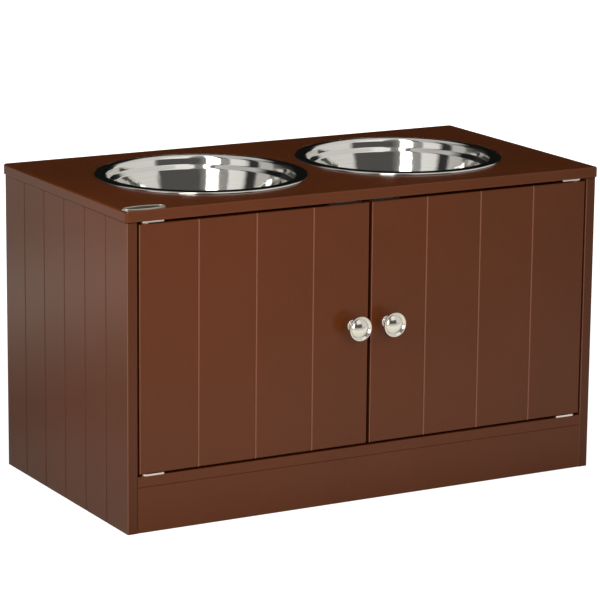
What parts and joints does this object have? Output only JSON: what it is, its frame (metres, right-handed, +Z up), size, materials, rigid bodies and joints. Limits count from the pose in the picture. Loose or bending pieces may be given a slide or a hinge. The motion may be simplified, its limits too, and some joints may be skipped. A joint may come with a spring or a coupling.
{
  "type": "elevated dog feeder with storage",
  "caption": "Low wooden cabinet holding lift-out steel bowls in its top, with a pair of grooved hinged doors and round metal knobs over a storage space.",
  "frame": {"origin": "on the floor, below the middle of the top board", "axes": "+X runs along the length to the right as seen from the doors, +Y from the doors to the back, +Z up"},
  "size_m": [0.6, 0.3398, 0.3577],
  "materials": {
    "board": "satin brown lacquer",
    "bowl_steel": "polished stainless steel",
    "chrome": "polished",
    "hinge_nickel": "nickel plated",
    "zinc": "zinc plated",
    "washer_nylon": "plain nylon",
    "catch_plastic": "moulded grey",
    "magnet": "bare ferrite",
    "beech": "bare wood"
  },
  "bodies": {
    "cabinet": {"back_panel": "board", "bottom_board": "board", "top_board": "board", "plinth": "board", "left_side_panel": "board", "right_side_panel": "board", "hinge_washers": "washer_nylon", "hinge_screws_cabinet": "zinc", "catch_housing_left": "catch_plastic", "catch_housing_right": "catch_plastic", "catch_magnet_left": "magnet", "catch_magnet_right": "magnet", "catch_pole_plates_left": "zinc", "catch_pole_plates_right": "zinc", "catch_screws": "zinc", "cam_bolts": "zinc", "cam_discs": "zinc", "dowels": "beech", "oval_plate": "chrome", "hinge_top_left_cabinet_leaf": "hinge_nickel", "hinge_top_left_pin": "hinge_nickel", "hinge_top_right_cabinet_leaf": "hinge_nickel", "hinge_top_right_pin": "hinge_nickel", "hinge_bottom_left_cabinet_leaf": "hinge_nickel", "hinge_bottom_left_pin": "hinge_nickel", "hinge_bottom_right_cabinet_leaf": "hinge_nickel", "hinge_bottom_right_pin": "hinge_nickel"},
    "door_left": {"door_left": "board", "knob_left": "chrome", "knob_screw_left": "zinc", "hinge_top_left_door_leaf": "hinge_nickel", "hinge_bottom_left_door_leaf": "hinge_nickel", "hinge_screws_door_left": "zinc", "strike_plate_left": "zinc", "strike_screw_left": "zinc"},
    "door_right": {"door_right": "board", "knob_right": "chrome", "knob_screw_right": "zinc", "hinge_top_right_door_leaf": "hinge_nickel", "hinge_bottom_right_door_leaf": "hinge_nickel", "hinge_screws_door_right": "zinc", "strike_plate_right": "zinc", "strike_screw_right": "zinc"},
    "bowl_left": {"bowl_left": "bowl_steel"},
    "bowl_right": {"bowl_right": "bowl_steel"}
  },
  "joints": [
    {"name": "door_left_hinge", "type": "hinge", "parent": "cabinet", "child": "door_left", "pos_m": [-0.2741, -0.1517, 0.2], "axis": [0, 0, -1], "range_deg": [0, 110]},
    {"name": "door_right_hinge", "type": "hinge", "parent": "cabinet", "child": "door_right", "pos_m": [0.2741, -0.1517, 0.2], "axis": [0, 0, 1], "range_deg": [0, 110]},
    {"name": "bowl_left_lift", "type": "slide", "parent": "cabinet", "child": "bowl_left", "axis": [0, 0, 1], "range_m": [0, 0.1]},
    {"name": "bowl_right_lift", "type": "slide", "parent": "cabinet", "child": "bowl_right", "axis": [0, 0, 1], "range_m": [0, 0.1]}
  ]
}
